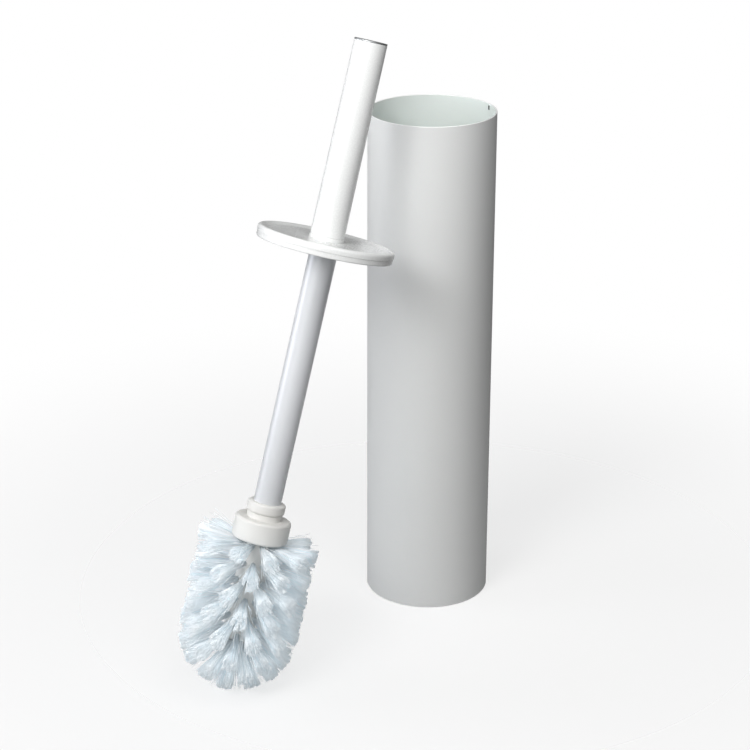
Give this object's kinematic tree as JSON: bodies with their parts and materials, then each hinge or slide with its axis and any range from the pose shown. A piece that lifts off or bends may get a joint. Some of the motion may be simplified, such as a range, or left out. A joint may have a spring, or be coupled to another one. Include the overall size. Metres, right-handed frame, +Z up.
{
  "type": "toilet brush holder",
  "caption": "Tall round tube that holds a long-handled toilet brush; the brush carries a lid that closes the tube and stands beside it on its bristles.",
  "frame": {"origin": "middle of the foot pad's underside, on the floor, on the holder tube's axis", "axes": "+Z up along the holder tube's axis; the brush stands on the -X -Y side of the tube, and the view from -Y is the front"},
  "size_m": [0.2137, 0.2437, 0.4333],
  "materials": {
    "tube_paint": "satin",
    "zinc_steel": "satin",
    "cap_steel": "satin",
    "foot_rubber": "matte",
    "cup_plastic": "satin",
    "white_plastic": "gloss",
    "plug_plastic": "matte",
    "rod_paint": "satin",
    "head_plastic": "satin",
    "bristle": "satin"
  },
  "bodies": {
    "holder": {"holder_tube": "tube_paint", "base_plate": "zinc_steel", "foot_pad": "foot_rubber"},
    "cup": {"drip_cup": "cup_plastic"},
    "brush": {"grip": "white_plastic", "grip_cap": "cap_steel", "grip_ring": "white_plastic", "grip_plug": "plug_plastic", "tie_stud": "zinc_steel", "lid_cap": "white_plastic", "lid_underplate": "white_plastic", "rod": "rod_paint", "rod_plug": "plug_plastic", "rod_ring": "head_plastic"},
    "head": {"head_core": "head_plastic", "head_screw": "zinc_steel", "tuft_anchors": "zinc_steel", "tufts_ring_1": "bristle", "tufts_ring_2": "bristle", "tufts_ring_3": "bristle", "tufts_ring_4": "bristle", "tufts_ring_5": "bristle", "tufts_ring_6": "bristle", "tufts_end_ring": "bristle", "tufts_tip_ring": "bristle", "tuft_tip": "bristle"}
  },
  "joints": [
    {"name": "brush_lift", "type": "slide", "parent": "holder", "child": "brush", "axis": [0, 0, 1], "range_m": [0, 0.4]},
    {"name": "head_unscrew", "type": "hinge", "parent": "brush", "child": "head", "pos_m": [-0.12746, -0.15684, 0.0419], "axis": [0.2149, 0.2032, 0.9553], "continuous": true},
    {"name": "cup_lift", "type": "slide", "parent": "holder", "child": "cup", "axis": [0, 0, 1], "range_m": [0, 0.4]}
  ]
}
